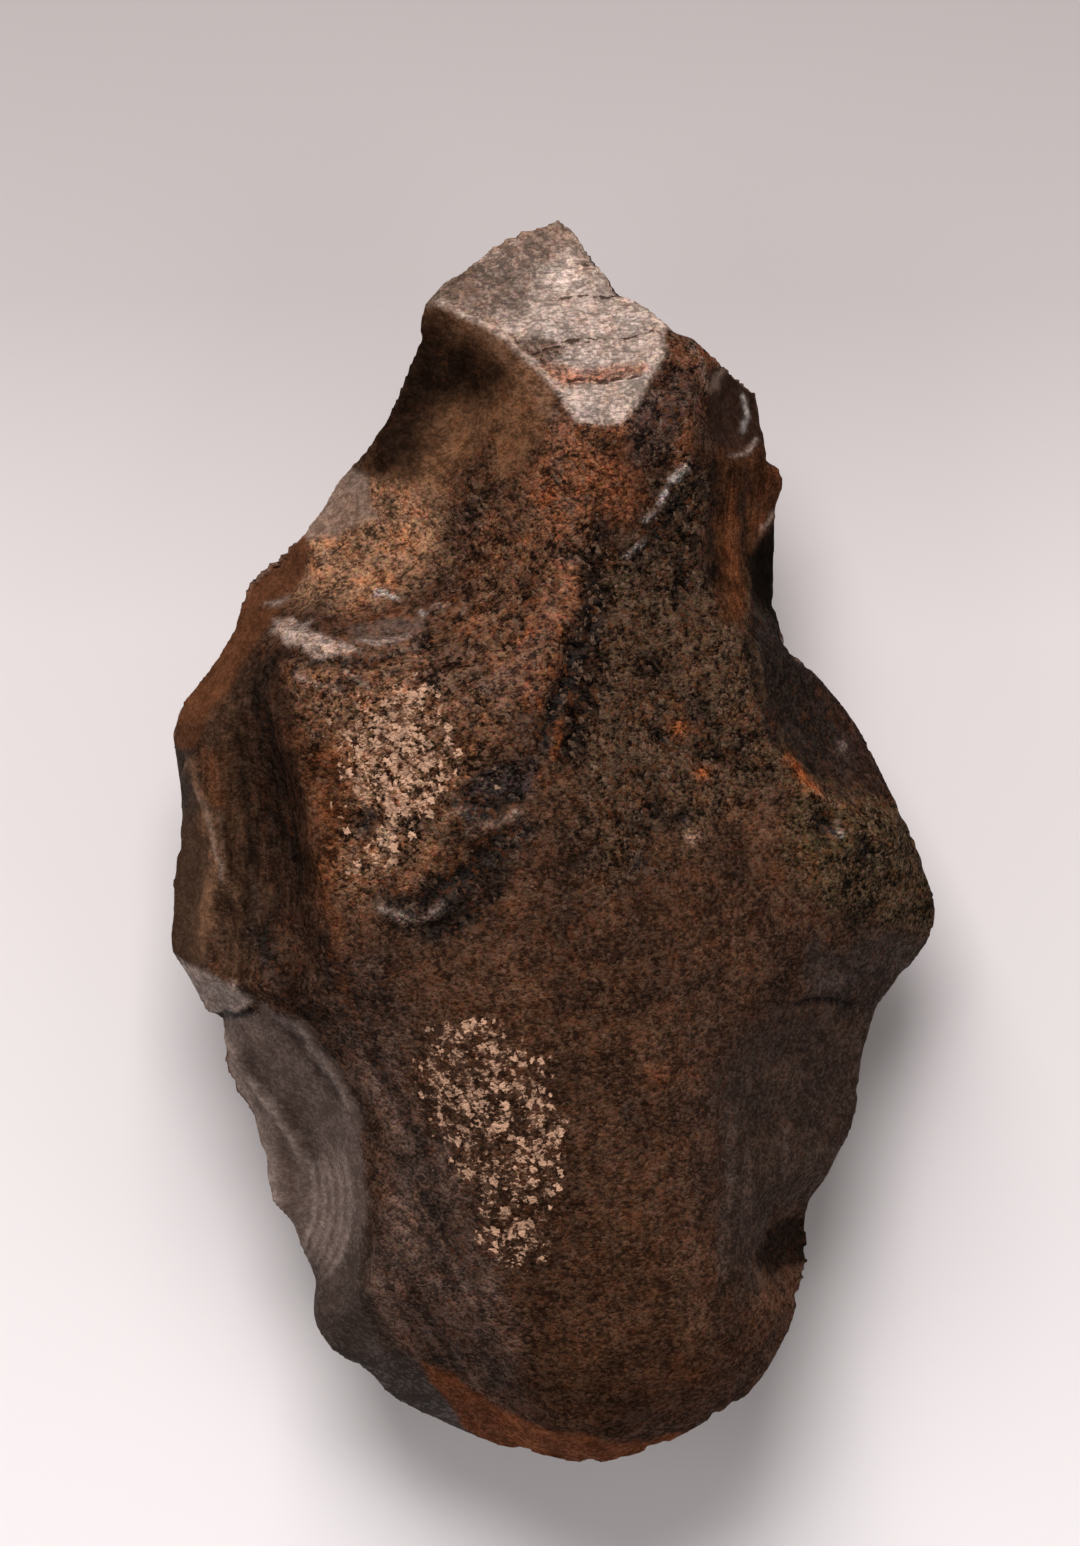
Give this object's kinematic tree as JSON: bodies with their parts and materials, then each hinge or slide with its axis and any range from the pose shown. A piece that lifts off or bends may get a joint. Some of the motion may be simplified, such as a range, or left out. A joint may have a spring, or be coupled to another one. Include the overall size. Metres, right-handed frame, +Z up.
{
  "type": "stone hand axe",
  "caption": "Knapped stone hand axe with a pointed tip, scalloped flaked margins and a thick rounded butt, lying on a flat of its back face.",
  "frame": {"origin": "centre of the plan bounding box, on the floor under the back face", "axes": "+Y from the butt to the tip, +Z up out of the worked front face, +X to the right with the tip away"},
  "size_m": [0.1116, 0.18, 0.0519],
  "materials": {
    "stone": "grainy quartzite with brown patina, and smooth grey flake scars"
  },
  "bodies": {
    "root": {"hand_axe": "stone"}
  },
  "joints": []
}
